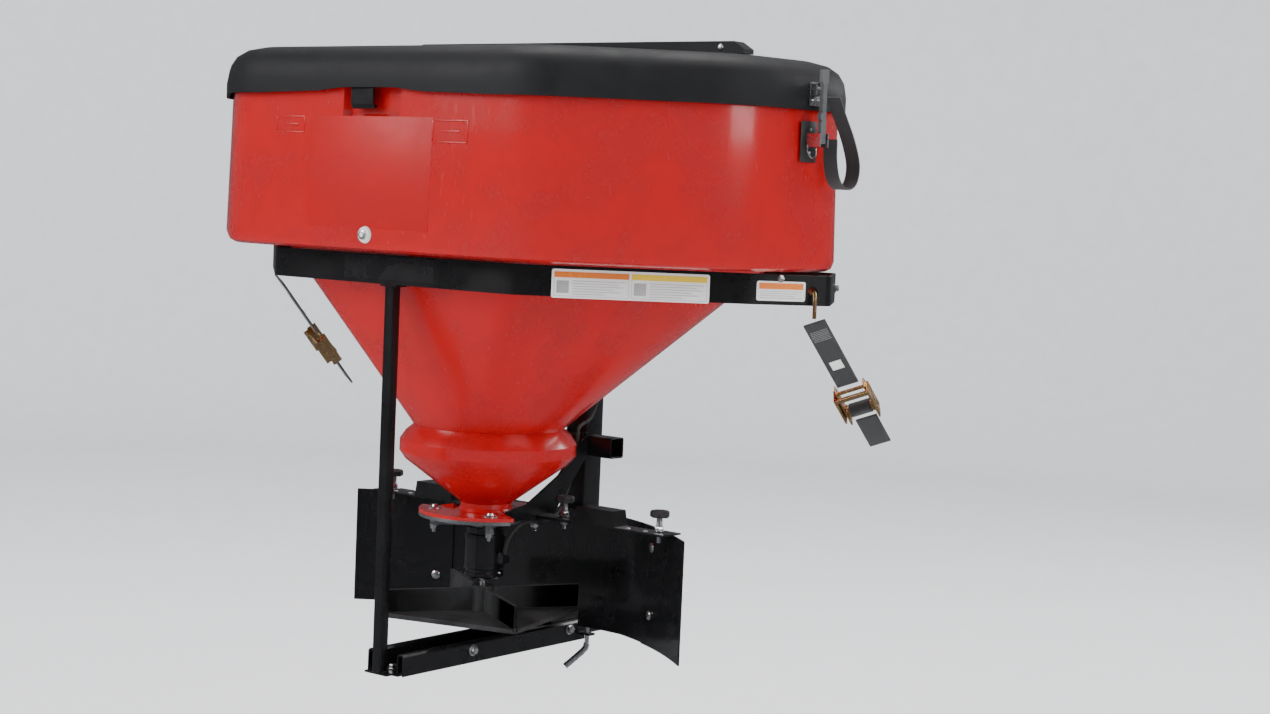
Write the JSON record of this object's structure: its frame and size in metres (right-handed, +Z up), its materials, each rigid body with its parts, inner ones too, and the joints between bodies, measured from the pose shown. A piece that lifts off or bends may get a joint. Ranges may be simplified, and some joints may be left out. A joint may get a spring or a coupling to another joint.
{
  "type": "tailgate salt spreader",
  "caption": "Hitch-mounted salt spreader: red poly hopper with hinged black lid, steel frame, motor-driven spinner and agitator, curved deflector, draw latches and ratchet tie-downs.",
  "frame": {"origin": "centre of the drawbar's closed front end face, where the spreader enters the vehicle's receiver", "axes": "+Y forward out of the drawbar's end, +X to the right as seen from behind the vehicle, +Z up"},
  "size_m": [1.3522, 0.8798, 1.1612],
  "materials": {
    "hopper_red_poly": "gloss",
    "black_poly": "textured satin",
    "black_coated_steel": "gloss powder coat",
    "zinc_plate": "bright zinc",
    "yellow_zinc": "yellow zinc",
    "grey_rubber": "matt",
    "black_webbing": "woven",
    "white_poly": "satin",
    "cable_loom": "corrugated"
  },
  "bodies": {
    "frame": {"hopper_shell": "hopper_red_poly", "drain_plug": "white_poly", "hopper_frame_band": "black_coated_steel", "rear_post": "black_coated_steel", "lower_arm": "black_coated_steel", "drawbar": "black_coated_steel", "hitch_pin": "zinc_plate", "hitch_clip": "zinc_plate", "mast": "black_coated_steel", "cross_tube": "black_coated_steel", "brace_left": "black_coated_steel", "brace_right": "black_coated_steel", "chute_plate": "zinc_plate", "motor_spider": "zinc_plate", "chute_bolt_1": "zinc_plate", "chute_bolt_2": "zinc_plate", "motor_housing": "black_coated_steel", "motor_cable": "cable_loom", "motor_plug": "black_poly", "lid_hinge_bracket_left": "black_coated_steel", "lid_hinge_bracket_right": "black_coated_steel", "lid_hinge_pin_left": "zinc_plate", "lid_hinge_pin_right": "zinc_plate", "latch_keeper_left": "zinc_plate", "latch_keeper_right": "zinc_plate", "lid_check_strap": "black_webbing", "tiedown_hook_left": "yellow_zinc", "tiedown_hook_right": "yellow_zinc", "tiedown_webbing_left": "black_webbing", "tiedown_webbing_right": "black_webbing", "ratchet_frame_left": "yellow_zinc", "ratchet_frame_right": "yellow_zinc", "tiedown_tail_left": "black_webbing", "tiedown_tail_right": "black_webbing"},
    "lid": {"lid": "black_poly", "lid_bar": "black_poly", "lid_hinge_lug_left": "black_coated_steel", "lid_hinge_lug_right": "black_coated_steel", "lid_rear_latch": "black_coated_steel", "latch_lid_bracket_left": "zinc_plate", "latch_lid_bracket_right": "zinc_plate"},
    "strap_left": {"latch_strap_left": "grey_rubber"},
    "strap_right": {"latch_strap_right": "grey_rubber"},
    "drive": {"drive_shaft": "zinc_plate", "spinner_disc": "black_poly", "spinner_pin": "zinc_plate", "agitator": "zinc_plate", "agitator_bar": "zinc_plate"},
    "deflector": {"deflector_center": "black_coated_steel", "deflector_wing_left": "black_coated_steel", "deflector_wing_right": "black_coated_steel", "deflector_hanger_left": "black_coated_steel", "deflector_hanger_right": "black_coated_steel"},
    "knob_inner_left": {"inner_knob_left": "black_poly"},
    "knob_inner_right": {"inner_knob_right": "black_poly"},
    "knob_outer_left": {"outer_knob_left": "black_poly"},
    "knob_outer_right": {"outer_knob_right": "black_poly"},
    "arm_lock": {"arm_lock_screw": "zinc_plate"},
    "ratchet_left": {"ratchet_handle_left": "yellow_zinc"},
    "ratchet_right": {"ratchet_handle_right": "yellow_zinc"}
  },
  "joints": [
    {"name": "lid_hinge", "type": "hinge", "parent": "frame", "child": "lid", "pos_m": [0, -0.28, 0.942], "axis": [-1, 0, 0], "range_deg": [0, 95]},
    {"name": "strap_left_swing", "type": "hinge", "parent": "frame", "child": "strap_left", "pos_m": [-0.65077, -0.50368, 0.908], "axis": [0.1339, -0.991, 0], "range_deg": [0, 100]},
    {"name": "strap_right_swing", "type": "hinge", "parent": "frame", "child": "strap_right", "pos_m": [0.65077, -0.50368, 0.908], "axis": [0.1339, 0.991, 0], "range_deg": [0, 100]},
    {"name": "drive_spin", "type": "hinge", "parent": "frame", "child": "drive", "pos_m": [0, -0.542, 0.07], "axis": [0, 0, 1], "continuous": true},
    {"name": "deflector_slide", "type": "slide", "parent": "frame", "child": "deflector", "axis": [0, 1, 0], "range_m": [0, 0.014]},
    {"name": "knob_inner_left_turn", "type": "hinge", "parent": "frame", "child": "knob_inner_left", "pos_m": [-0.106, -0.448, 0.2253], "axis": [0, 0, 1], "continuous": true},
    {"name": "knob_inner_right_turn", "type": "hinge", "parent": "frame", "child": "knob_inner_right", "pos_m": [0.106, -0.448, 0.2253], "axis": [0, 0, 1], "continuous": true},
    {"name": "knob_outer_left_turn", "type": "hinge", "parent": "deflector", "child": "knob_outer_left", "pos_m": [-0.32, -0.448, 0.2253], "axis": [0, 0, 1], "continuous": true},
    {"name": "knob_outer_right_turn", "type": "hinge", "parent": "deflector", "child": "knob_outer_right", "pos_m": [0.32, -0.448, 0.2253], "axis": [0, 0, 1], "continuous": true},
    {"name": "arm_lock_turn", "type": "hinge", "parent": "frame", "child": "arm_lock", "pos_m": [0.0545, -0.304, -0.02], "axis": [0, 0, 1], "continuous": true},
    {"name": "ratchet_left_lever", "type": "hinge", "parent": "frame", "child": "ratchet_left", "pos_m": [-0.63913, -0.32317, 0.46654], "axis": [0.8817, -0.3118, -0.354], "range_deg": [0, 130]},
    {"name": "ratchet_right_lever", "type": "hinge", "parent": "frame", "child": "ratchet_right", "pos_m": [0.63913, -0.32317, 0.46654], "axis": [0.8817, 0.3118, 0.354], "range_deg": [0, 130]}
  ]
}
